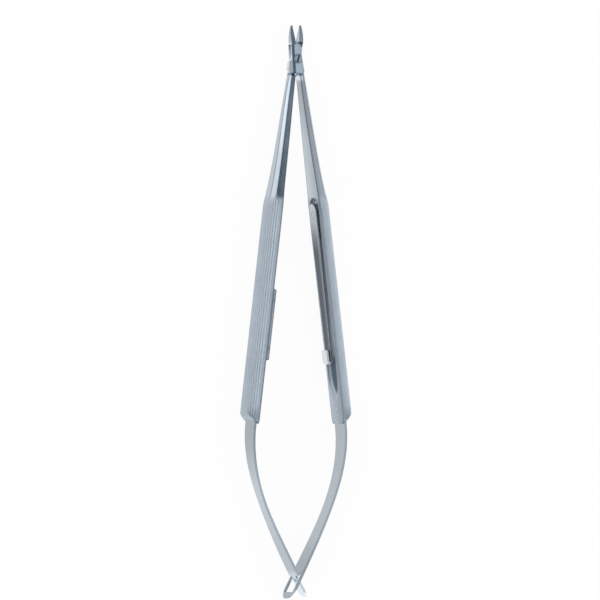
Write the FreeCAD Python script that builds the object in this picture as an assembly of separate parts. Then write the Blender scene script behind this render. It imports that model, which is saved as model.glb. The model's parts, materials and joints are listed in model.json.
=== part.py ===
import FreeCAD, Part
import math
import os

# Surgical needle holder with spring handles and a latch. All sizes are in millimetres.
# Each arm is drawn shut, with the pivot on the Z axis, the jaw towards +Y and the grip
# towards -Y. Both arms are drawn at +X and the left one is mirrored. They are then swung
# open and set down on the lower edges of the grips.

V = FreeCAD.Vector
z_axis = V(0, 0, 1)

# How far a cutting shape runs past the face that it opens
overrun = 1.0

# Opening
open_angle = 13.8
grip_gap = 1.25
jaw_gap = 0.04

# Jaws, from the pivot axis
jaw_reach = 10.85
jaw_point_width = 0.5
jaw_point_thick = 0.45
jaw_nose_at = 9.0
jaw_nose_width = 1.35
jaw_nose_thick = 1.12
jaw_heel_at = 6.6
jaw_heel_width = 2.6
jaw_heel_thick = 1.5
jaw_root_overlap = 1.6
jaw_side_share = 0.85

# Box joint
joint_width = 3.5
joint_taper = 0.05
joint_depth = 3.6
joint_radius = 4.95
joint_chamfer = 0.5
lip_swell = 0.13
lip_width = 0.85
lip_drop = 0.16
tongue_thick = 1.5
flank_width = 2.45
flank_from = 0.6
flank_slope = 0.8
slide_clearance = 0.03
shoulder_clearance = 0.1
shoulder_overlap = 0.4
shoulder_slope = 0.5

# Pivot screw
screw_shank_dia = 1.7
screw_head_dia = 2.7
screw_head_thick = 0.55
screw_head_proud = 0.25
screw_slot_width = 0.45
screw_slot_depth = 0.4
screw_slot_turn = -17.0
screw_recess = 0.1
running_clearance = 0.03
fixed_clearance = 0.01

# Shanks, half octagons that grow from the joint to the grip
shank_gap = 0.18
shank_waist_at = 16.6
shank_waist_width = 4.3
shank_waist_thick = 2.46
shank_mid_at = 30.0
shank_mid_width = 6.1
shank_mid_thick = 2.92
shank_mid_inset = 0.36
shank_end_at = 42.5
shank_end_width = 8.0
shank_end_thick = 3.6
side_share = 0.68
side_taper = 0.94
back_share = 0.46

# Grips, half-round bars with flutes along the back
grip_radius = 4.75
grip_blend_at = 54.0
grip_end_at = 119.0
grip_edge = 0.25
core_growth = 1.14
flute_count = 17
flute_land = 2.6
flute_margin = 7.5
flute_depth = 0.16
end_bevel_rise = 3.4
end_bevel_land = 0.2
end_corner_rise = 2.1
end_corner_width = 0.7

# Pocket in the right grip, a round-bottomed groove with a flat seat at its upper end
pocket_half_width = 3.3
pocket_depth = 2.6
pocket_top_at = 45.7
pocket_deep_from = 60.0
pocket_deep_to = 103.4
pocket_ramp_in = 5.0
pocket_ramp_out = 8.5
seat_depth = 1.3
seat_end_at = 58.5

# Latch arm, a strip with a thick foot and a hook bent back towards the jaws
latch_top_at = 47.3
latch_foot_length = 8.0
latch_foot_slope = 1.5
latch_thick = 1.0
latch_stand = 0.75
latch_foot_width = 5.0
latch_hook_width = 3.7
latch_bend_at = 98.4
hook_tip_at = 94.9
hook_thick = 0.68
hook_mouth = 0.65
latch_swing = 1.4

# Latch rivet, on which the arm swings
rivet_at = 51.0
rivet_dia = 1.8
rivet_head_dia = 2.6
rivet_head_depth = 0.4
rivet_length = 3.9

# Catch rail on the left grip, with a toe that the hook goes round
rail_start_at = 74.9
rail_end_at = 98.4
rail_height = 0.95
rail_thick = 1.1
rail_inset = 0.35
rail_slope = 0.6
toe_length = 1.5
toe_thick = 0.4
toe_gap = 0.2
rail_pin_dia = 0.8
rail_pin_depth = 1.8
rail_pin_margin = 4.0
recess_margin = 0.3

# Leaf springs, pinned in the ends of the grips and crossing at the tail
leaf_thick = 0.8
leaf_inset = 0.95
leaf_seat_depth = 6.5
leaf_pin_dia = 1.0
leaf_pin_length = 2.5
leaf_pin_first = 1.7
leaf_pin_spacing = 2.4
leaf_crossing_at = 168.1
leaf_crossing_angle = 27.5
leaf_bow = 17.0
leaf_sweep = 20.0
leaf_steps = 10
leaf_upper_at = 131.0
leaf_waist_at = 144.0
leaf_foot_at = 162.0
left_leaf_top = 7.2
left_leaf_upper = 5.8
left_leaf_waist = 4.4
left_leaf_foot = 6.2
tongue_shoulder = 0.8
tongue_neck = 2.6
tongue_width = 4.2
tongue_reach = 5.9
right_leaf_top = 7.7
right_leaf_upper = 6.8
right_leaf_waist = 6.1
right_leaf_foot = 7.6
eye_width = 8.4
eye_reach = 6.5
eye_round = 3.1
eye_slot_width = 6.8
eye_slot_above = 1.2
eye_bridge = 2.1

# Worked out from the sizes above
half_open = math.radians(open_angle / 2)
cross = math.radians(leaf_crossing_angle)
grip_face = grip_gap / 2
leaf_seat_at = grip_end_at - leaf_seat_depth
half_joint = joint_width / 2
slot_half = tongue_thick / 2 + slide_clearance
strip_face = grip_face - latch_stand
hook_inside = strip_face - hook_mouth
hook_outside = hook_inside - hook_thick
hook_half = latch_hook_width / 2
latch_end_at = latch_bend_at + (strip_face + latch_thick - hook_outside) / 2
hook_shift = (latch_bend_at - rivet_at) * math.sin(math.radians(latch_swing))
rail_low = grip_radius - rail_inset - rail_thick
tall = 4 * grip_radius
lowest = math.sqrt(grip_radius ** 2 - grip_edge ** 2)
tip_y = jaw_reach * math.cos(half_open) + jaw_point_thick * math.sin(half_open)
tail_y = leaf_crossing_at + eye_reach
pivot = V(0, (tail_y - tip_y) / 2, lowest)


def block(x0, x1, y0, y1, z0, z1):
    return Part.makeBox(x1 - x0, y1 - y0, z1 - z0, V(x0, y0, z0))


def prism(points, along):
    return Part.Face(Part.makePolygon(points + points[:1])).extrude(along)


def rod(radius, start, end):
    return Part.makeCylinder(radius, (end - start).Length, start, end - start)


def disc(radius, height=tall):
    return Part.makeCylinder(radius, height, V(0, 0, -height / 2), z_axis)


def line(start, end):
    return Part.makeLine(start, end)


def arc(start, middle, end):
    return Part.Arc(start, middle, end).toShape()


def spline(points):
    curve = Part.BSplineCurve()
    curve.interpolate(points)
    return curve.toShape()


def solid_from(edges, along):
    return Part.Face(Part.Wire(Part.__sortEdges__(edges))).extrude(along)


def mirrored(shape):
    return shape.mirror(V(0, 0, 0), V(1, 0, 0))


def swung(shape, side):
    # side is 1 for what belongs to the right arm and -1 for the left one
    moved = shape.copy()
    moved.rotate(V(0, 0, 0), z_axis, side * open_angle / 2)
    return moved


# Shared form of the arms

def facets(y, inner, thick, width, share=side_share):
    side, back, half = inner + share * thick, inner + thick, width / 2
    rim = [V(inner, y, -half), V(side, y, -half * side_taper), V(back, y, -half * back_share)]
    rim += [V(p.x, y, -p.z) for p in reversed(rim)]
    return Part.makePolygon(rim + rim[:1])


def shank_and_core():
    # the last section is wider than the grip's round and runs on to its end
    joint_end = facets(-joint_radius / 2, shank_gap / 2, half_joint, joint_depth)
    waist = facets(-shank_waist_at, shank_gap, shank_waist_thick, shank_waist_width)
    mid = facets(-shank_mid_at, shank_mid_inset, shank_mid_thick, shank_mid_width)
    end = facets(-shank_end_at, grip_face, shank_end_thick, shank_end_width)
    core = facets(-grip_blend_at, grip_face, core_growth * grip_radius, 2 * core_growth * grip_radius)
    loft = Part.makeLoft([joint_end, waist, mid, end, core], True, False)
    return loft.fuse(Part.Face(core).extrude(V(0, grip_blend_at - grip_end_at, 0)))


def fluted_bar():
    def rim(turn, depth=0.0):
        a, reach = math.radians(turn), grip_radius - depth
        return V(grip_face + reach * math.cos(a), 0, reach * math.sin(a))

    def span(low, high, depth=0.0):
        return arc(rim(low), rim((low + high) / 2, depth), rim(high))

    pitch = (180 - 2 * flute_margin) / flute_count
    edges, turn = [], -90.0
    for i in range(flute_count):
        low = flute_margin - 90 + i * pitch + flute_land / 2
        high = low + pitch - flute_land
        edges += [span(turn, low), span(low, high, flute_depth)]
        turn = high
    edges.append(span(turn, 90.0))
    inward = V(-2 * grip_face, 0, 0)
    corners = [rim(90), rim(90) + inward, rim(-90) + inward, rim(-90)]
    edges += [line(a, b) for a, b in zip(corners, corners[1:])]
    return Part.Face(Part.Wire(edges)).extrude(V(0, -grip_end_at, 0))


def end_cuts():
    # oblique bevel on the back of the grip's end, and a corner off each side of it
    slope = end_bevel_rise / (grip_radius - end_bevel_land)
    land, low = grip_face + end_bevel_land, -grip_end_at - slope * grip_radius
    bevel = [V(land - grip_radius, low, -tall / 2), V(land + tall, slope * tall - grip_end_at, -tall / 2),
             V(land + tall, low, -tall / 2)]
    cuts = [prism(bevel, V(0, 0, tall))]
    steep = end_corner_rise / end_corner_width
    for side in (-1, 1):
        inside, outside = grip_radius - end_corner_width - overrun, grip_radius + overrun
        corner = [V(0, -grip_end_at - steep * overrun, side * inside),
                  V(0, -grip_end_at + end_corner_rise + steep * overrun, side * outside),
                  V(0, -grip_end_at - steep * overrun, side * outside)]
        cuts.append(prism(corner, V(tall, 0, 0)))
    return cuts


def edge_breaks():
    cuts = []
    for side in (-1, 1):
        inside, outside = grip_radius - grip_edge - overrun, grip_radius + overrun
        corner = [V(grip_face - overrun, -shank_end_at, side * inside),
                  V(grip_face + grip_edge + overrun, -shank_end_at, side * outside),
                  V(grip_face - overrun, -shank_end_at, side * outside)]
        cuts.append(prism(corner, V(0, shank_end_at - grip_end_at, 0)))
    return cuts


def leaf_pin(place, clearance=0.0):
    y = -leaf_seat_at - leaf_pin_first - place * leaf_pin_spacing
    return rod(leaf_pin_dia / 2 + clearance, V(grip_face, y, 0), V(grip_face + leaf_pin_length, y, 0))


def leaf_pins(clearance=0.0):
    return [leaf_pin(place, clearance) for place in range(2)]


def arm_blank(leaf_width):
    body = shank_and_core().common(fluted_bar())
    middle, half = grip_face + leaf_inset, leaf_thick / 2 + slide_clearance
    side = leaf_width / 2 + slide_clearance
    seat = block(middle - half, middle + half, -grip_end_at - overrun, -leaf_seat_at, -side, side)
    return body.cut(end_cuts() + edge_breaks() + [seat] + leaf_pins(fixed_clearance))


def jaw():
    stations = [(joint_radius - jaw_root_overlap, half_joint - joint_chamfer / 2,
                 joint_depth - joint_chamfer / 2),
                (jaw_heel_at, jaw_heel_thick, jaw_heel_width),
                (jaw_nose_at, jaw_nose_thick, jaw_nose_width),
                (jaw_reach, jaw_point_thick, jaw_point_width)]
    sections = [facets(y, jaw_gap / 2, thick, width, jaw_side_share) for y, thick, width in stations]
    return Part.makeLoft(sections, True, False)


def joint_block(radius, swell=0.0):
    # narrows towards the jaws, with a shallow lip on its near edge that carries on the jaw's side
    def section(y):
        w, d, c = half_joint - joint_taper * y, joint_depth / 2, joint_chamfer
        lip = -w - swell
        rim = [V(w, y, d - c), V(w - c, y, d), V(lip + lip_width, y, d), V(lip, y, d - lip_drop),
               V(lip, y, c - d), V(lip + c, y, -d), V(w - c, y, -d), V(w, y, c - d)]
        return Part.makePolygon(rim + rim[:1])

    block_shape = Part.makeLoft([section(-joint_radius), section(joint_radius)], True, True)
    return block_shape.common(disc(radius))


# Right arm: cheeks of the box joint, left jaw, and the grip with the latch pocket

def pocket():
    radius = (pocket_half_width ** 2 + pocket_depth ** 2) / (2 * pocket_depth)
    deep, shallow = grip_face + pocket_depth - radius, grip_face - radius
    start, end = V(deep, -pocket_deep_from, 0), V(deep, -pocket_deep_to, 0)
    top = V(shallow, pocket_ramp_in - pocket_deep_from, 0)
    out = V(shallow, -pocket_deep_to - pocket_ramp_out, 0)
    groove = rod(radius, start, end)
    groove = groove.fuse([rod(radius, start, top), rod(radius, end, out)])
    groove = groove.fuse([Part.makeSphere(radius, start), Part.makeSphere(radius, end)])
    arch_y = -pocket_top_at - pocket_half_width
    seat = block(0, grip_face + seat_depth, -seat_end_at, arch_y, -pocket_half_width, pocket_half_width)
    arch = rod(pocket_half_width, V(0, arch_y, 0), V(grip_face + seat_depth, arch_y, 0))
    return groove.fuse([seat, arch])


def rivet(clearance=0.0):
    face, back = V(strip_face, -rivet_at, 0), V(strip_face + rivet_length, -rivet_at, 0)
    head = Part.makeCone(rivet_head_dia / 2 + clearance, rivet_dia / 2 + clearance, rivet_head_depth,
                         face, V(1, 0, 0))
    return head.fuse(rod(rivet_dia / 2 + clearance, face, back))


def right_arm():
    body = joint_block(joint_radius, lip_swell).fuse([arm_blank(right_leaf_top), mirrored(jaw())])
    head_floor = joint_depth / 2 + screw_head_proud - screw_head_thick
    head_hole = Part.makeCylinder(screw_head_dia / 2 + fixed_clearance, joint_depth, V(0, 0, head_floor))
    screw_hole = disc(screw_shank_dia / 2 + fixed_clearance)
    cuts = [disc(joint_radius, 2 * slot_half), head_hole, screw_hole, pocket(), rivet(fixed_clearance)]
    return body.cut(cuts)


# Left arm: tongue through the box joint, right jaw, and the grip with the catch

def hook_recess():
    # room in the left grip for the hook, shut and swung over
    bottom = -latch_end_at - recess_margin
    top = -hook_tip_at + recess_margin
    return block(0, recess_margin - hook_outside, bottom, top,
                 -hook_half - recess_margin, hook_half + hook_shift + recess_margin)


def tongue_flank():
    # the tongue's outer side, which shows between the cheeks below the pivot
    rim = [V(0, -flank_from, 0), V(half_joint, -flank_from, 0),
           V(flank_width, -flank_from - flank_slope, 0), V(flank_width, -joint_radius, 0),
           V(0, -joint_radius, 0)]
    flank = prism(rim, V(0, 0, tongue_thick)).common(disc(joint_radius - shoulder_clearance))
    flank.translate(V(0, 0, -tongue_thick / 2))
    return flank


def shoulder_cut():
    # the shoulders slope away from the cheeks
    low, high = tongue_thick / 2, joint_depth / 2
    radius = joint_radius + shoulder_clearance
    slopes = [Part.makeCone(radius, radius + shoulder_slope, high - low, V(0, 0, side * low), V(0, 0, side))
              for side in (-1, 1)]
    return disc(radius).fuse(slopes)


def left_arm():
    grip = arm_blank(left_leaf_top).cut([hook_recess()] + rail_pins(fixed_clearance))
    whole = mirrored(grip).fuse(jaw())
    shoulders = whole.cut(shoulder_cut())
    root = whole.common(disc(joint_radius + shoulder_overlap))
    tongue = joint_block(joint_radius - shoulder_clearance).fuse([root, mirrored(tongue_flank())])
    tongue = tongue.common(disc(2 * joint_radius, tongue_thick))
    return shoulders.fuse(tongue).cut(disc(screw_shank_dia / 2 + running_clearance))


def pivot_screw():
    top = joint_depth / 2 + screw_head_proud
    bottom = screw_recess - joint_depth / 2
    head = Part.makeCylinder(screw_head_dia / 2, screw_head_thick, V(0, 0, top - screw_head_thick))
    crown = Part.makeCone(screw_head_dia / 2, screw_head_dia / 2 - screw_head_proud / 2,
                          screw_head_proud / 2, V(0, 0, top - screw_head_proud / 2))
    head = head.cut(block(-tall, tall, -tall, tall, top - screw_head_proud / 2, tall)).fuse(crown)
    shank = rod(screw_shank_dia / 2, V(0, 0, bottom), V(0, 0, top - screw_head_thick))
    slot = block(-screw_slot_width / 2, screw_slot_width / 2, -tall, tall, top - screw_slot_depth, tall)
    slot.rotate(V(0, 0, 0), z_axis, screw_slot_turn)
    return head.fuse(shank).cut(slot)


# Latch arm

def latch_arm():
    back, foot_back = strip_face + latch_thick, grip_face + seat_depth - slide_clearance
    foot_end = latch_top_at + latch_foot_length
    middle_in, middle_out = (strip_face + hook_inside) / 2, (back + hook_outside) / 2
    tip = -hook_tip_at - hook_thick / 2
    corners = [V(strip_face, -latch_bend_at, 0), V(strip_face, -latch_top_at, 0),
               V(foot_back, -latch_top_at, 0), V(foot_back, -foot_end, 0),
               V(back, -foot_end - latch_foot_slope, 0), V(back, -latch_bend_at, 0)]
    edges = [line(a, b) for a, b in zip(corners, corners[1:])]
    edges += [
        arc(corners[-1], V(middle_out, -latch_end_at, 0), V(hook_outside, -latch_bend_at, 0)),
        line(V(hook_outside, -latch_bend_at, 0), V(hook_outside, tip, 0)),
        arc(V(hook_outside, tip, 0), V((hook_outside + hook_inside) / 2, -hook_tip_at, 0),
            V(hook_inside, tip, 0)),
        line(V(hook_inside, tip, 0), V(hook_inside, -latch_bend_at, 0)),
        arc(V(hook_inside, -latch_bend_at, 0),
            V(middle_in, -latch_bend_at - (strip_face - hook_inside) / 2, 0), corners[0]),
    ]
    profile = solid_from(edges, V(0, 0, tall))
    profile.translate(V(0, 0, -tall / 2))
    half, top = latch_foot_width / 2, -latch_top_at - latch_foot_width / 2
    sides = [V(-tall, top, half), V(-tall, -foot_end, half), V(-tall, -latch_end_at - overrun, hook_half)]
    sides += [V(p.x, p.y, -p.z) for p in reversed(sides)]
    edges = [line(a, b) for a, b in zip(sides, sides[1:])]
    edges.append(arc(sides[-1], V(-tall, -latch_top_at, 0), sides[0]))
    outline = solid_from(edges, V(2 * tall, 0, 0))
    return profile.common(outline).cut(rivet(running_clearance))


# Catch rail

def rail_pin(at, clearance=0.0):
    z = rail_low + rail_thick / 2
    start = V(grip_face - rail_height, -at, z)
    return rod(rail_pin_dia / 2 + clearance, start, V(grip_face + rail_pin_depth, -at, z))


def rail_pins(clearance=0.0):
    places = (rail_start_at + rail_pin_margin, rail_end_at - rail_pin_margin)
    return [rail_pin(at, clearance) for at in places]


def catch_rail():
    top, low, high = grip_face - rail_height, -rail_end_at, -rail_start_at
    side = [V(grip_face, low, rail_low), V(top, low + rail_slope / 2, rail_low),
            V(top, high - rail_slope, rail_low), V(grip_face, high, rail_low)]
    bar = prism(side, V(0, 0, rail_thick))
    toe = block(grip_face - toe_thick, grip_face, low + rail_slope / 2, low + rail_slope / 2 + toe_length,
                hook_half + toe_gap, rail_low + rail_thick / 2)
    return mirrored(bar.fuse(toe).cut(rail_pins(fixed_clearance)))


# Leaf springs, drawn in the open pose about the pivot

def leaf_path():
    along = V(math.sin(half_open), -math.cos(half_open), 0)
    across = V(math.cos(half_open), math.sin(half_open), 0)
    line_up = across * (grip_face + leaf_inset)
    seat = line_up + along * (leaf_seat_at + slide_clearance)
    mouth = line_up + along * grip_end_at
    crossing = V(0, -leaf_crossing_at, 0)
    inward = V(-math.sin(cross), -math.cos(cross), 0)
    bend = Part.BezierCurve()
    bend.setPoles([mouth, mouth + along * leaf_bow, crossing - inward * leaf_sweep, crossing])
    return seat, mouth, bend, crossing, crossing + inward * (eye_reach + overrun) / math.cos(cross)


def leaf_ribbon():
    seat, mouth, bend, crossing, end = leaf_path()

    def edge_of(side):
        def beside(point, direction):
            return point + direction.normalize().cross(z_axis) * (side * leaf_thick / 2)
        points = [beside(bend.value(i / leaf_steps), bend.tangent(i / leaf_steps)[0])
                  for i in range(leaf_steps + 1)]
        first, last = beside(seat, mouth - seat), beside(end, end - crossing)
        return [line(first, points[0]), spline(points), line(points[-1], last)], first, last

    left, left_first, left_last = edge_of(-1)
    right, right_first, right_last = edge_of(1)
    edges = left + right + [line(left_first, right_first), line(left_last, right_last)]
    ribbon = solid_from(edges, V(0, 0, tall))
    ribbon.translate(V(0, 0, -tall / 2))
    return ribbon


def outline_prism(flank, close):
    # flank runs down the +Z side, close joins its last point to the mirrored one
    edges = []
    for side in (1, -1):
        points = [V(p.x, p.y, side * p.z) for p in flank]
        curve = Part.BSplineCurve()
        curve.interpolate(Points=points[1:], InitialTangent=V(0, -1, 0))
        edges += [line(points[0], points[1]), curve.toShape()]
    edges.append(line(flank[0], V(flank[0].x, flank[0].y, -flank[0].z)))
    return solid_from(edges + close, V(2 * tall, 0, 0))


def flank_points(top, upper, waist, foot, more):
    places = [(leaf_seat_at - overrun, top), (grip_end_at, top), (leaf_upper_at, upper),
              (leaf_waist_at, waist), (leaf_foot_at, foot)] + more
    return [V(-tall, -at, width / 2) for at, width in places]


def right_leaf():
    eye_at = leaf_crossing_at + eye_reach - eye_round
    flank = flank_points(right_leaf_top, right_leaf_upper, right_leaf_waist, right_leaf_foot,
                         [(eye_at, eye_width)])
    end = flank[-1]
    close = [arc(end, V(end.x, -tail_y, 0), V(end.x, end.y, -end.z))]
    body = leaf_ribbon().common(outline_prism(flank, close))
    half = eye_slot_width / 2
    slot = block(-tall, tall, -tail_y + eye_bridge, -leaf_crossing_at + eye_slot_above, -half, half)
    return body.cut([slot] + [swung(pin, 1) for pin in leaf_pins(fixed_clearance)])


def left_leaf():
    shoulder_at = leaf_crossing_at - tongue_shoulder
    flank = flank_points(left_leaf_top, left_leaf_upper, left_leaf_waist, left_leaf_foot,
                         [(shoulder_at, left_leaf_foot)])
    end, half = flank[-1], tongue_width / 2
    tip_at = leaf_crossing_at + tongue_reach
    side = [end, V(end.x, end.y, tongue_neck / 2), V(end.x, half - tip_at, half)]
    other = [V(p.x, p.y, -p.z) for p in side]
    close = [line(a, b) for points in (side, other) for a, b in zip(points, points[1:])]
    close.append(arc(side[-1], V(end.x, -tip_at, 0), other[-1]))
    body = leaf_ribbon().common(outline_prism(flank, close))
    return mirrored(body.cut([swung(pin, 1) for pin in leaf_pins(fixed_clearance)]))


def main():
    right_pins = Part.makeCompound(leaf_pins())
    left_pins = Part.makeCompound([mirrored(pin) for pin in leaf_pins()])
    catch_pins = Part.makeCompound([mirrored(pin) for pin in rail_pins()])
    nodes = {
        "right_arm": swung(right_arm(), 1),
        "left_arm": swung(left_arm(), -1),
        "pivot_screw": pivot_screw(),
        "latch_arm": swung(latch_arm(), 1),
        "latch_rivet": swung(rivet(), 1),
        "catch_rail": swung(catch_rail(), -1),
        "catch_pins": swung(catch_pins, -1),
        "right_leaf_spring": right_leaf(),
        "left_leaf_spring": left_leaf(),
        "right_spring_pins": swung(right_pins, 1),
        "left_spring_pins": swung(left_pins, -1),
    }
    os.makedirs("parts", exist_ok=True)
    for name, shape in nodes.items():
        shape.translate(pivot)
        shape.exportStep(os.path.join("parts", name + ".step"))
        print(name, len(shape.Solids), shape.isValid(), round(shape.Volume, 3))
    print("pivot", pivot)


main()
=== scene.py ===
import json
import math

import bmesh
import bpy
from mathutils import Matrix, Vector


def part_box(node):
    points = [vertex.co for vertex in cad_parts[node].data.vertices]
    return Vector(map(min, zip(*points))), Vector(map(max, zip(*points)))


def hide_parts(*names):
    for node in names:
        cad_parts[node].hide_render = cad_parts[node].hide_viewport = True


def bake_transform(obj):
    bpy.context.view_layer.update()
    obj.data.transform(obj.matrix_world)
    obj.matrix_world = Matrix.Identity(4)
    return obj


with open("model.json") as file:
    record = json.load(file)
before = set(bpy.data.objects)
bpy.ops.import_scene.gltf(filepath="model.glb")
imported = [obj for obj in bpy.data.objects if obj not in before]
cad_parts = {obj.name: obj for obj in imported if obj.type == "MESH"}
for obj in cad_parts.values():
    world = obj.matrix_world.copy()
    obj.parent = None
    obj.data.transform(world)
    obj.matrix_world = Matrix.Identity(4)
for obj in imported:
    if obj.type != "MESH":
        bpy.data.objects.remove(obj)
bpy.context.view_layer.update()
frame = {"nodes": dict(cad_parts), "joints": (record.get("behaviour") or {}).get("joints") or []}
scene = bpy.context.scene
scene.view_settings.view_transform = "Standard"
joints = {joint["name"]: joint for joint in frame["joints"]}
pivot = Vector(joints["jaw_pivot"]["pos_m"])
openAngle = math.radians(joints["jaw_pivot"]["range_deg"][1])
armLean = openAngle / 2  # each arm leans this far from the long axis

# The camera looks down on the instrument as it lies, from a little to its left
viewPoint = {
    "fromLeft": math.radians(24),
    "frameWidth": 0.19404,
    "rightOfAxis": 0.00136,
    "belowPivot": 0.07807,
    "distance": 0.6,
}


def placeCamera(place):
    lean = place["fromLeft"]
    towards = Vector((-math.sin(lean), 0, math.cos(lean)))
    right = Vector((math.cos(lean), 0, math.sin(lean)))
    up = Vector((0, 1, 0))
    target = pivot + right * place["rightOfAxis"] - up * place["belowPivot"]
    data = bpy.data.cameras.new("photoCamera")
    data.type = "ORTHO"
    data.ortho_scale = place["frameWidth"]
    camera = bpy.data.objects.new("photoCamera", data)
    turn = Matrix((right, up, towards)).transposed()
    camera.matrix_world = Matrix.Translation(target + towards * place["distance"]) @ turn.to_4x4()
    scene.collection.objects.link(camera)
    scene.camera = camera


def addNode(tree, kind, **inputs):
    node = tree.nodes.new(kind)
    for name, value in inputs.items():
        if name in node.inputs:
            node.inputs[name].default_value = value
        else:
            setattr(node, name, value)
    return node


def wire(tree, source, target):
    tree.links.new(source, target)


def setRamp(ramp, stops):
    points = ramp.color_ramp.elements
    stops = list(stops)
    while len(points) < len(stops):
        points.new(1.0)
    for point, (at, colour) in zip(points, stops):
        point.position = at
        point.color = colour


# Plain pale floor and soft light from the left. The metal sees a ceiling whose level
# changes from the left (positive degrees) to the right
studio = {
    "floorSize": 6.0,
    "floorColour": (0.96, 0.965, 0.97, 1),
    "floorWhite": 0.93,
    "skyStrength": 0.95,
    "leftPlace": (-0.9, -0.05, 0.16),
    "leftSize": (1.6, 0.3),
    "leftPower": 0.75,
    "ceilingHeight": 0.6,
    "ceilingSize": (1.8, 1.6),
    "ceilingBlue": 0.05,
    "ceilingLevels": (
        (52, 0.95), (25, 0.95), (14, 0.8), (6, 0.32), (0, 0.17), (-16, 0.16), (-19.5, 0.36),
        (-23, 0.76), (-27, 0.76), (-32, 0.68), (-38, 0.68), (-44, 0.95), (-50, 1.25), (-56, 1.4),
    ),
}


def whiteRays(tree):
    # camera, glossy and transmission rays see the pale background
    paths = addNode(tree, "ShaderNodeLightPath")
    first = addNode(tree, "ShaderNodeMath", operation="MAXIMUM")
    both = addNode(tree, "ShaderNodeMath", operation="MAXIMUM")
    wire(tree, paths.outputs["Is Camera Ray"], first.inputs[0])
    wire(tree, paths.outputs["Is Glossy Ray"], first.inputs[1])
    wire(tree, first.outputs[0], both.inputs[0])
    wire(tree, paths.outputs["Is Transmission Ray"], both.inputs[1])
    return both.outputs[0]


def makeFloor(look):
    mesh = bpy.data.meshes.new("floor")
    shape = bmesh.new()
    bmesh.ops.create_grid(shape, x_segments=1, y_segments=1, size=look["floorSize"] / 2)
    shape.to_mesh(mesh)
    shape.free()
    floor = bpy.data.objects.new("floor", mesh)
    scene.collection.objects.link(floor)
    material = bpy.data.materials.new("paleFloor")
    material.use_nodes = True
    tree = material.node_tree
    tree.nodes.clear()
    diffuse = addNode(tree, "ShaderNodeBsdfDiffuse", Color=look["floorColour"])
    white = addNode(tree, "ShaderNodeEmission", Color=(1, 1, 1, 1), Strength=1.0)
    share = addNode(tree, "ShaderNodeMath", operation="MULTIPLY")
    share.inputs[1].default_value = look["floorWhite"]
    mix = addNode(tree, "ShaderNodeMixShader")
    out = addNode(tree, "ShaderNodeOutputMaterial")
    wire(tree, whiteRays(tree), share.inputs[0])
    wire(tree, share.outputs[0], mix.inputs[0])
    wire(tree, diffuse.outputs[0], mix.inputs[1])
    wire(tree, white.outputs[0], mix.inputs[2])
    wire(tree, mix.outputs[0], out.inputs["Surface"])
    mesh.materials.append(material)


def makeSky(look):
    world = bpy.data.worlds.new("paleStudio")
    world.use_nodes = True
    background = world.node_tree.nodes["Background"]
    background.inputs["Color"].default_value = (1, 1, 1, 1)
    background.inputs["Strength"].default_value = look["skyStrength"]
    scene.world = world


def makeLeftLight(look):
    data = bpy.data.lights.new("leftSoftbox", "AREA")
    data.shape = "RECTANGLE"
    data.size, data.size_y = look["leftSize"]
    data.energy = look["leftPower"]
    lamp = bpy.data.objects.new("leftSoftbox", data)
    place = Vector(look["leftPlace"])
    lamp.matrix_world = Matrix.Translation(place) @ place.to_track_quat("Z", "Y").to_matrix().to_4x4()
    scene.collection.objects.link(lamp)


def makeCeiling(look):
    # light and dark bands over the table, seen only in the metal's reflections
    width, length = look["ceilingSize"]
    height = look["ceilingHeight"]
    mesh = bpy.data.meshes.new("ceilingCards")
    shape = bmesh.new()
    bmesh.ops.create_grid(shape, x_segments=1, y_segments=1, size=0.5)
    bmesh.ops.scale(shape, vec=(width, length, 1), verts=shape.verts)
    bmesh.ops.translate(shape, vec=(0, 0, height), verts=shape.verts)
    shape.to_mesh(mesh)
    shape.free()
    ceiling = bpy.data.objects.new("ceilingCards", mesh)
    scene.collection.objects.link(ceiling)
    material = bpy.data.materials.new("ceilingCards")
    material.use_nodes = True
    tree = material.node_tree
    tree.nodes.clear()
    coordinates = addNode(tree, "ShaderNodeTexCoord")
    parts = addNode(tree, "ShaderNodeSeparateXYZ")
    place = addNode(tree, "ShaderNodeMapRange")
    place.inputs["From Min"].default_value = -width / 2
    place.inputs["From Max"].default_value = width / 2
    ramp = addNode(tree, "ShaderNodeValToRGB")
    stops = []
    for angle, level in look["ceilingLevels"]:
        at = 0.5 - height * math.tan(math.radians(angle)) / width
        blue = look["ceilingBlue"] * (1 - level)  # the dark cards are bluer
        stops.append((at, (level - blue, level, level + blue, 1)))
    setRamp(ramp, stops)
    glow = addNode(tree, "ShaderNodeEmission", Strength=1.0)
    out = addNode(tree, "ShaderNodeOutputMaterial")
    wire(tree, coordinates.outputs["Object"], parts.inputs[0])
    wire(tree, parts.outputs["X"], place.inputs["Value"])
    wire(tree, place.outputs[0], ramp.inputs["Fac"])
    wire(tree, ramp.outputs[0], glow.inputs["Color"])
    wire(tree, glow.outputs[0], out.inputs["Surface"])
    mesh.materials.append(material)
    ceiling.visible_camera = False
    ceiling.visible_diffuse = False
    ceiling.visible_shadow = False


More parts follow.
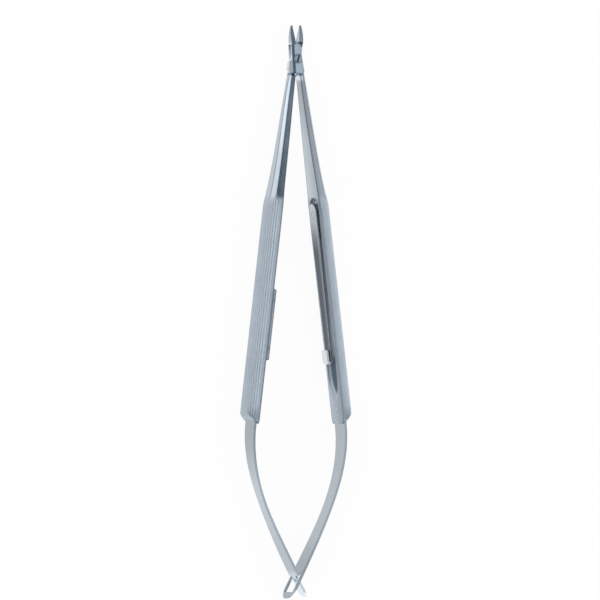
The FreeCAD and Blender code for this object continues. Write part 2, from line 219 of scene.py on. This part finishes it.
# Steel finishes with painted light and shade: painted shade on edges, in recesses, flutes and gaps,
# painted light and shade on faces by how they face, and painted highlights on chamfers, ledges, cheeks
# and the latch.
# Places are in metres in the arm's own frame: x across it, y along it, z up, all from the joint screw.
# A pair of places is where a tone fades in, and a Facing pair says how far up the face looks,
# from 0 for an upright face to 1 for a level one
satinGrindAndShade = {
    "dark": (0.43, 0.485, 0.54, 1),
    "light": (0.54, 0.595, 0.65, 1),
    "toneAt": (0.34, 0.66),
    "rough": (0.17, 0.25),
    "roughAt": (0.3, 0.7),
    "grainAcross": 0.00015,
    "grainAlong": 0.0035,
    "grainDetail": 3.0,
    "grainHeight": 0.000003,
    "cloudSize": 0.008,
    "cloudDetail": 4.0,
    "noiseRough": 0.6,
    "edgeRadius": 0.0002,
    "edgeReach": 0.0008,
    "edgeSharp": (0.999, 0.965),
    # painted shade along the edges and in the recesses
    "edgeShadeTone": (0.46, 0.5, 0.55, 1),
    "recessReach": 0.0009,
    "recessDepth": (0.95, 0.35),
    "recessShadeTone": 0.75,
}
rightArmFinishAndLight = {
    **satinGrindAndShade,
    "gripRough": (0.6, 0.68),
    "gripAcross": (0.0012, 0.005),
    "gripLightAndShade": (1.28, 1.45),
    "gripAt": (-0.0445, -0.0468),
    "gripCentre": 0.000625,
    "fluteAt": (0.00469, 0.00461),
    "fluteShade": 0.9,
    "backAt": (0.001, 0.0016),
    "backFade": 0.9,
    "innerAt": (0.001, 0.0008),
    "innerFacing": (0.4, 0.2),
    "innerHeight": (-0.0035, 0.0035),
    "innerLightAndShade": (1.08, 0.84),
    "innerLength": (-0.006, -0.03),
    "innerShadeTop": 0.74,
    "shankAt": (-0.006, -0.009),
    "topFacing": (0.93, 0.98),
    "topAcross": (0.0006, 0.003),
    "topLightAndShade": (0.78, 1.06),
    "chamferFacing": 0.57,
    "chamferWithin": (0.16, 0.1),
    "chamferHighlight": 1.05,
    "ridgeTurn": ((0.06, 0.16), (0.48, 0.38)),
    "ridgeShade": 0.6,
    # colour of the painted highlights
    "paintedHighlight": (0.75, 0.79, 0.84, 1),
    "insideAt": (0.0045, 0.0043),
    "pocketAt": (0.0008, 0.0013),
    "pocketLength": ((-0.0462, -0.0472), (-0.0985, -0.0955)),
    "pocketHighlight": 0.9,
    "troughAt": (0.0013, 0.0019),
    "troughLength": ((-0.0965, -0.099), (-0.113, -0.1115)),
    "troughShade": (0.27, 0.31, 0.36, 1),
    "ledgeLength": ((-0.006, -0.005), (0.0056, 0.005)),
    "ledgeHeight": (0.0013, 0.0011),
    "ledgeHighlight": 0.75,
    "ledgeFade": 0.9,
    "jointShadowLength": ((-0.0058, -0.0054), (-0.0047, -0.0051)),
    "jointShadowAcross": (0.0016, 0.0011),
    "jointShadowTone": (0.32, 0.38, 0.44, 1),
    "crotchLength": ((-0.0073, -0.0069), (-0.0055, -0.0059)),
    "crotchHighlight": 1.0,
    "cheekFacing": (0.988, 0.996),
    "cheekLength": ((-0.0058, -0.0054), (0.0054, 0.005)),
    "cheekHighlight": (1.2, 1.27, 1.34, 1),
    "jawAt": (0.0046, 0.0056),
    "jawFacing": (0.6, 0.8),
    "jawShade": 1.0,
    "notchSteep": (-0.5, -0.75),
    "notchBase": (0.0058, 0.0052),
    "notchAt": (0.0038, 0.0042),
    "notchShadow": (1, 1, 1, 1),
    "pinsAt": (-0.1055, -0.1065),
    "pinsHeight": (0.0032, 0.0026),
    "bevelAt": (-0.117, -0.1125),
}
leftArmFinishAndLight = {
    **rightArmFinishAndLight,
    "gripLightAndShade": (1.36, 1.1),
    "topLightAndShade": (1.15, 0.76),
    "chamferHighlight": 1.2,
    "pocketHighlight": 0.0,
    "troughShade": 1.0,
    "jointShadowLength": ((-0.0059, -0.0055), (-0.0046, -0.005)),
    "jointShadowAcross": (0.01, 0.009),
    "crotchHighlight": 0.0,
    "cheekHighlight": 1.0,
    "jawShade": 0.7,
    "notchShadow": (0.22, 0.27, 0.32, 1),
}
polishedAndShade = {
    **satinGrindAndShade,
    "dark": (0.46, 0.5, 0.54, 1),
    "light": (0.56, 0.6, 0.64, 1),
    "rough": (0.1, 0.18),
    "grainHeight": 0.0000015,
    "recessReach": 0.0007,
    # dark painted shade in the recesses
    "recessShadeTone": (0.1, 0.125, 0.15, 1),
}
screwFinishAndShade = {**polishedAndShade, "dark": (0.44, 0.505, 0.575, 1), "light": (0.54, 0.605, 0.675, 1)}
pinFinishAndShade = {
    **satinGrindAndShade,
    "dark": (0.4, 0.44, 0.48, 1),
    "light": (0.49, 0.53, 0.57, 1),
    "edgeShadeTone": 0.95,
    "recessShadeTone": 0.95,
}
latchFinishAndLight = {
    **polishedAndShade,
    "edgeShadeTone": 0.85,
    "recessShadeTone": 0.8,
    "stripShadeLow": (0.052, 0.072, 0.097, 1),
    "stripShadeHigh": (0.2, 0.235, 0.28, 1),
    "stripHeight": (0.0004, 0.0024),
    "stripStart": (-0.0475, -0.064),
    "stripFacing": (0.4, 0.8),
    "stripTopHighlight": (0.74, 0.77, 0.8, 1),
    "hookAt": (-0.0003, -0.0007),
    "hookHighlightShare": 0.8,
    "hookHighlight": (0.78, 0.8, 0.82, 1),
}
springStrip = {
    **satinGrindAndShade,
    "rough": (0.24, 0.36),
    "edgeRadius": 0.00006,
    "sideFacing": (0.5, 0.8),
    "sideHighlight": 1.3,
    "grainAcross": 0.0002,
    "grainHeight": 0.000004,
    "edgeShadeTone": 0.97,
    "lengthAt": (-0.118, -0.1746),
    "shadeShare": 0.7,
    "tint": (0.89, 1, 1.09),
}
leftStripFinishAndLight = {
    **springStrip,
    "shadeAlongLength": ((0.0, 0.36), (0.3, 0.62), (0.6, 0.58), (0.85, 0.5), (0.93, 0.5), (0.975, 1.0)),
}
rightStripFinishAndLight = {
    **springStrip,
    "shadeAlongLength": ((0.0, 0.42), (0.4, 0.48), (0.72, 0.46), (0.88, 0.34), (1.0, 0.36)),
}


def calculate(tree, operation, first, second=None):
    node = addNode(tree, "ShaderNodeMath", operation=operation)
    for place, value in enumerate((first, second)):
        if isinstance(value, (int, float)):
            node.inputs[place].default_value = value
        elif value is not None:
            wire(tree, value, node.inputs[place])
    return node.outputs[0]


def stretch(tree, value, fromMin, fromMax, toMin=0.0, toMax=1.0):
    node = addNode(tree, "ShaderNodeMapRange", interpolation_type="SMOOTHSTEP")
    ends = {"From Min": fromMin, "From Max": fromMax, "To Min": toMin, "To Max": toMax}
    for name, number in ends.items():
        node.inputs[name].default_value = number
    wire(tree, value, node.inputs["Value"])
    return node.outputs[0]


def mixColour(tree, share, first, second, way="MIX"):
    node = addNode(tree, "ShaderNodeMix", data_type="RGBA", blend_type=way)
    sockets = [socket for socket in node.inputs if socket.type == "RGBA"]
    for socket, value in zip(sockets, (first, second)):
        if isinstance(value, tuple):
            socket.default_value = value
        else:
            wire(tree, value, socket)
    if isinstance(share, float):
        node.inputs["Factor"].default_value = share
    else:
        wire(tree, share, node.inputs["Factor"])
    return [socket for socket in node.outputs if socket.type == "RGBA"][0]


def grey(level):
    return (level, level, level, 1)


def noiseAt(tree, place, scale, detail, rough):
    spread = addNode(tree, "ShaderNodeMapping", vector_type="TEXTURE", Scale=scale)
    noise = addNode(tree, "ShaderNodeTexNoise", Scale=1.0, Detail=detail, Roughness=rough)
    wire(tree, place, spread.inputs["Vector"])
    wire(tree, spread.outputs[0], noise.inputs["Vector"])
    return noise.outputs["Fac"]


def times(tree, first, second):
    return calculate(tree, "MULTIPLY", first, second)


def without(tree, share):
    return calculate(tree, "SUBTRACT", 1.0, share)


def tinted(tree, share, colour, level):
    # the colour times a level where the share is 1
    shade = grey(level) if isinstance(level, float) else level
    return mixColour(tree, share, colour, mixColour(tree, 1.0, colour, shade, "MULTIPLY"))


def between(tree, value, ends):
    return times(tree, stretch(tree, value, *ends[0]), stretch(tree, value, *ends[1]))


def armTones(tree, parts, look, colour):
    # painted light and shade on the grips, flutes, flat inner faces, shanks and the latch's pocket
    grip = stretch(tree, parts["y"], *look["gripAt"])
    shank = stretch(tree, parts["y"], *look["shankAt"])
    back = times(tree, grip, stretch(tree, parts["x"], *look["backAt"]))
    offset = calculate(tree, "SUBTRACT", parts["x"], look["gripCentre"])
    across = addNode(tree, "ShaderNodeCombineXYZ")
    wire(tree, offset, across.inputs["X"])
    wire(tree, parts["z"], across.inputs["Z"])
    radius = addNode(tree, "ShaderNodeVectorMath", operation="LENGTH")
    wire(tree, across.outputs[0], radius.inputs[0])
    flute = times(tree, back, stretch(tree, radius.outputs["Value"], *look["fluteAt"]))
    # painted light and shade across the grip backs
    level = stretch(tree, parts["x"], *look["gripAcross"], *look["gripLightAndShade"])
    colour = tinted(tree, back, colour, level)
    # painted shade in the flutes
    colour = tinted(tree, flute, colour, look["fluteShade"])

    # painted light and shade on the flat inner faces, up their height and along them
    inner = times(tree, shank, stretch(tree, parts["x"], *look["innerAt"]))
    inner = times(tree, inner, stretch(tree, parts["facing"], *look["innerFacing"]))
    level = stretch(tree, parts["z"], *look["innerHeight"], *look["innerLightAndShade"])
    level = times(tree, level, stretch(tree, parts["y"], *look["innerLength"], look["innerShadeTop"], 1.0))
    colour = tinted(tree, inner, colour, level)
    shank = times(tree, shank, without(tree, grip))
    # painted light and shade across the shanks' top faces
    top = times(tree, shank, stretch(tree, parts["facing"], *look["topFacing"]))
    level = stretch(tree, parts["x"], *look["topAcross"], *look["topLightAndShade"])
    colour = tinted(tree, top, colour, level)
    # painted shade along the ridges between facets
    ridge = times(tree, shank, between(tree, parts["rounded"], look["ridgeTurn"]))
    colour = tinted(tree, times(tree, ridge, without(tree, inner)), colour, look["ridgeShade"])
    # painted highlight on the chamfers
    slope = calculate(tree, "SUBTRACT", parts["facing"], look["chamferFacing"])
    slope = calculate(tree, "ABSOLUTE", slope)
    chamfer = times(tree, shank, stretch(tree, slope, *look["chamferWithin"]))
    colour = tinted(tree, chamfer, colour, look["chamferHighlight"])

    # painted highlight in the latch's pocket
    inside = times(tree, grip, stretch(tree, radius.outputs["Value"], *look["insideAt"]))
    pocket = times(tree, inside, stretch(tree, parts["x"], *look["pocketAt"]))
    pocket = times(tree, pocket, between(tree, parts["y"], look["pocketLength"]))
    colour = mixColour(tree, times(tree, pocket, look["pocketHighlight"]), colour, look["paintedHighlight"])
    # painted shade in the trough where the pocket runs out
    trough = times(tree, inside, stretch(tree, parts["x"], *look["troughAt"]))
    trough = times(tree, trough, between(tree, parts["y"], look["troughLength"]))
    colour = tinted(tree, trough, colour, look["troughShade"])
    return colour, grip, back


def jointTones(tree, parts, look, colour):
    # painted highlights on the ledges, cheeks and crotch of the box joint, painted shadows below it and
    # in the notch at the jaws' bases, and painted shade on the jaws
    # painted highlight on the low ledges
    low = stretch(tree, parts["z"], *look["ledgeHeight"])
    ledge = times(tree, low, between(tree, parts["y"], look["ledgeLength"]))
    colour = mixColour(tree, times(tree, ledge, look["ledgeHighlight"]), colour, look["paintedHighlight"])
    # painted highlight on the cheeks' flat tops
    flat = stretch(tree, parts["facing"], *look["cheekFacing"])
    cheek = times(tree, flat, without(tree, low))
    cheek = times(tree, cheek, between(tree, parts["y"], look["cheekLength"]))
    colour = tinted(tree, cheek, colour, look["cheekHighlight"])
    # painted highlight at the crotch below the joint
    crotch = stretch(tree, parts["x"], *look["innerAt"])
    crotch = times(tree, crotch, between(tree, parts["y"], look["crotchLength"]))
    colour = mixColour(tree, times(tree, crotch, look["crotchHighlight"]), colour, look["paintedHighlight"])
    # painted shadow in a band just below the joint
    jointShadow = stretch(tree, parts["x"], *look["jointShadowAcross"])
    jointShadow = times(tree, jointShadow, between(tree, parts["y"], look["jointShadowLength"]))
    colour = tinted(tree, jointShadow, colour, look["jointShadowTone"])
    # painted shade on the jaws' upward faces
    jaw = stretch(tree, parts["y"], *look["jawAt"])
    jaw = times(tree, jaw, stretch(tree, parts["facing"], *look["jawFacing"]))
    colour = tinted(tree, jaw, colour, look["jawShade"])
    # painted shadow in the notch at the jaws' bases
    steep = stretch(tree, parts["along"], *look["notchSteep"])
    base = times(tree, low, stretch(tree, parts["y"], *look["notchBase"]))
    notch = calculate(tree, "MAXIMUM", steep, base)
    notch = times(tree, notch, stretch(tree, parts["y"], *look["notchAt"]))
    return tinted(tree, notch, colour, look["notchShadow"]), ledge


def latchTones(tree, parts, look, colour):
    # painted shade on the polished strip's sides, darker low and lighter high, and painted highlights
    # on its top and on the hook at its end
    height = stretch(tree, parts["z"], *look["stripHeight"])
    side = mixColour(tree, height, look["stripShadeLow"], look["stripShadeHigh"])
    side = mixColour(tree, stretch(tree, parts["facing"], *look["stripFacing"]), side, look["stripTopHighlight"])
    strip = mixColour(tree, stretch(tree, parts["y"], *look["stripStart"]), colour, side)
    paintedHighlight = mixColour(tree, look["hookHighlightShare"], colour, look["hookHighlight"])
    return mixColour(tree, stretch(tree, parts["side"], *look["hookAt"]), strip, paintedHighlight)


def stripTones(tree, parts, look, colour):
    # painted light and shade on the spring strip along its length, and a painted highlight on its
    # sloping sides
    ramp = addNode(tree, "ShaderNodeValToRGB")
    stops = []
    for at, level in look["shadeAlongLength"]:
        stops.append((at, (*[level * share for share in look["tint"]], 1)))
    setRamp(ramp, stops)
    wire(tree, stretch(tree, parts["y"], *look["lengthAt"]), ramp.inputs["Fac"])
    colour = mixColour(tree, look["shadeShare"], colour, ramp.outputs[0])
    return tinted(tree, stretch(tree, parts["facing"], *look["sideFacing"]), colour, look["sideHighlight"])


def makeSteel(name, look, lean, kind):
    material = bpy.data.materials.new(name)
    material.use_nodes = True
    tree = material.node_tree
    steel = tree.nodes["Principled BSDF"]
    steel.inputs["Metallic"].default_value = 1.0
    coordinates = addNode(tree, "ShaderNodeTexCoord")
    local = addNode(tree, "ShaderNodeMapping", vector_type="TEXTURE", Location=pivot)
    local.inputs["Rotation"].default_value = (0, 0, lean)
    wire(tree, coordinates.outputs["Object"], local.inputs["Vector"])
    place = local.outputs[0]
    split = addNode(tree, "ShaderNodeSeparateXYZ")
    wire(tree, place, split.inputs[0])
    surface = addNode(tree, "ShaderNodeNewGeometry")
    facing = addNode(tree, "ShaderNodeSeparateXYZ")
    wire(tree, surface.outputs["Normal"], facing.inputs[0])
    wide = addNode(tree, "ShaderNodeBevel", samples=8, Radius=look["edgeReach"])
    turned = addNode(tree, "ShaderNodeSeparateXYZ")
    wire(tree, wide.outputs[0], turned.inputs[0])
    parts = {
        "side": split.outputs["X"],
        "x": calculate(tree, "ABSOLUTE", split.outputs["X"]),
        "y": split.outputs["Y"],
        "z": split.outputs["Z"],
        "facing": facing.outputs["Z"],
        "along": facing.outputs["Y"],
        "rounded": turned.outputs["Z"],
    }

    grainSize = (look["grainAcross"], look["grainAlong"], look["grainAcross"])
    grain = noiseAt(tree, place, grainSize, look["grainDetail"], look["noiseRough"])
    cloudSize = (look["cloudSize"],) * 3
    cloud = noiseAt(tree, place, cloudSize, look["cloudDetail"], look["noiseRough"])
    both = times(tree, calculate(tree, "ADD", grain, cloud), 0.5)
    tone = addNode(tree, "ShaderNodeValToRGB")
    setRamp(tone, zip(look["toneAt"], (look["dark"], look["light"])))
    wire(tree, both, tone.inputs["Fac"])
    colour = tone.outputs[0]

    # painted shade: darker where the surface turns over an edge, and where it lies in a recess
    rounded = addNode(tree, "ShaderNodeBevel", samples=6, Radius=look["edgeRadius"])
    same = addNode(tree, "ShaderNodeVectorMath", operation="DOT_PRODUCT")
    wire(tree, wide.outputs[0], same.inputs[0])
    wire(tree, surface.outputs["Normal"], same.inputs[1])
    edge = stretch(tree, same.outputs["Value"], *look["edgeSharp"])
    recess = addNode(tree, "ShaderNodeAmbientOcclusion", samples=8, only_local=True)
    recess.inputs["Distance"].default_value = look["recessReach"]
    recessShade = stretch(tree, recess.outputs["AO"], *look["recessDepth"])

    rough = stretch(tree, both, *look["roughAt"], *look["rough"])
    if kind == "arm":
        colour, grip, back = armTones(tree, parts, look, colour)
        colour, ledge = jointTones(tree, parts, look, colour)
        gripRough = stretch(tree, both, *look["roughAt"], *look["gripRough"])
        change = times(tree, calculate(tree, "SUBTRACT", gripRough, rough), grip)
        rough = calculate(tree, "ADD", rough, change)
        back = times(tree, back, stretch(tree, parts["y"], *look["bevelAt"]))
        edge = times(tree, edge, without(tree, times(tree, back, look["backFade"])))
        edge = times(tree, edge, without(tree, times(tree, ledge, look["ledgeFade"])))
        recessShade = times(tree, recessShade, without(tree, ledge))
        pins = stretch(tree, calculate(tree, "ABSOLUTE", parts["z"]), *look["pinsHeight"])
        pins = times(tree, pins, stretch(tree, parts["y"], *look["pinsAt"]))
        edge = times(tree, edge, without(tree, pins))
    if kind == "latch":
        colour = latchTones(tree, parts, look, colour)
    if kind == "strip":
        colour = stripTones(tree, parts, look, colour)
    # painted shade on the edges and in the recesses
    colour = tinted(tree, edge, colour, look["edgeShadeTone"])
    colour = tinted(tree, recessShade, colour, look["recessShadeTone"])
    wire(tree, colour, steel.inputs["Base Color"])
    wire(tree, rough, steel.inputs["Roughness"])

    bump = addNode(tree, "ShaderNodeBump", Distance=look["grainHeight"], Strength=1.0)
    wire(tree, grain, bump.inputs["Height"])
    wire(tree, rounded.outputs[0], bump.inputs["Normal"])
    wire(tree, bump.outputs[0], steel.inputs["Normal"])
    return material


def giveSteel(name, material):
    for place in frame["nodes"][name].material_slots:
        place.material = material


# Leaf springs, which bend between the arms as the grips close. Here each is copied, cut across into
# stations along its length and smooth shaded
leafBend = {
    "stations": 64,
    "mergeWithin": 0.000002,
    "sharpAngle": math.radians(28),
    "seatDepth": 0.0065,
    "crossingBelow": 0.1681,
}


def makeLeaf(name, node, material):
    low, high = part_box(node)
    mesh = frame["nodes"][node].data.copy()
    mesh.name = name
    shape = bmesh.new()
    shape.from_mesh(mesh)
    bmesh.ops.remove_doubles(shape, verts=shape.verts, dist=leafBend["mergeWithin"])
    for station in range(1, leafBend["stations"]):
        y = low.y + (high.y - low.y) * station / leafBend["stations"]
        everything = list(shape.verts) + list(shape.edges) + list(shape.faces)
        bmesh.ops.bisect_plane(shape, geom=everything, plane_co=(0, y, 0), plane_no=(0, 1, 0))
    bmesh.ops.recalc_face_normals(shape, faces=shape.faces)
    for face in shape.faces:
        face.smooth = True
    for edge in shape.edges:
        edge.smooth = edge.calc_face_angle(0.0) < leafBend["sharpAngle"]
    shape.to_mesh(mesh)
    shape.free()
    if "custom_normal" in mesh.attributes:  # the bisected faces shade by their own normals
        mesh.attributes.remove(mesh.attributes["custom_normal"])
    mesh.materials.clear()
    mesh.materials.append(material)
    leaf = bpy.data.objects.new(name, mesh)
    scene.collection.objects.link(leaf)
    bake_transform(leaf)
    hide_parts(node)


placeCamera(viewPoint)
makeFloor(studio)
makeSky(studio)
makeLeftLight(studio)
makeCeiling(studio)
print("camera, floor and lights are placed")

# every steel here carries painted shade on its edges and in its recesses; the arms, the latch and the
# leaf strips also carry painted light and shade on their faces
rightGrindAndLight = makeSteel("rightGrindAndLight", rightArmFinishAndLight, armLean, "arm")
leftGrindAndLight = makeSteel("leftGrindAndLight", leftArmFinishAndLight, -armLean, "arm")
screwSteel = makeSteel("screwSteel", screwFinishAndShade, armLean, "plain")
pinSteel = makeSteel("pinSteel", pinFinishAndShade, 0.0, "plain")
leftPolishAndShade = makeSteel("leftPolishAndShade", polishedAndShade, -armLean, "plain")
latchSteel = makeSteel("latchSteel", latchFinishAndLight, armLean, "latch")
rightStrip = makeSteel("rightStrip", rightStripFinishAndLight, 0.0, "strip")
leftStrip = makeSteel("leftStrip", leftStripFinishAndLight, 0.0, "strip")
steelOf = {
    "right_arm": rightGrindAndLight,
    "left_arm": leftGrindAndLight,
    "catch_rail": leftPolishAndShade,
    "latch_arm": latchSteel,
    "latch_rivet": latchSteel,
    "pivot_screw": screwSteel,
    "catch_pins": pinSteel,
    "left_spring_pins": pinSteel,
    "right_spring_pins": pinSteel,
}
for name, material in steelOf.items():
    giveSteel(name, material)
print("steel finishes are on the arms and the latch")

makeLeaf("rightLeaf", "right_leaf_spring", rightStrip)
makeLeaf("leftLeaf", "left_leaf_spring", leftStrip)
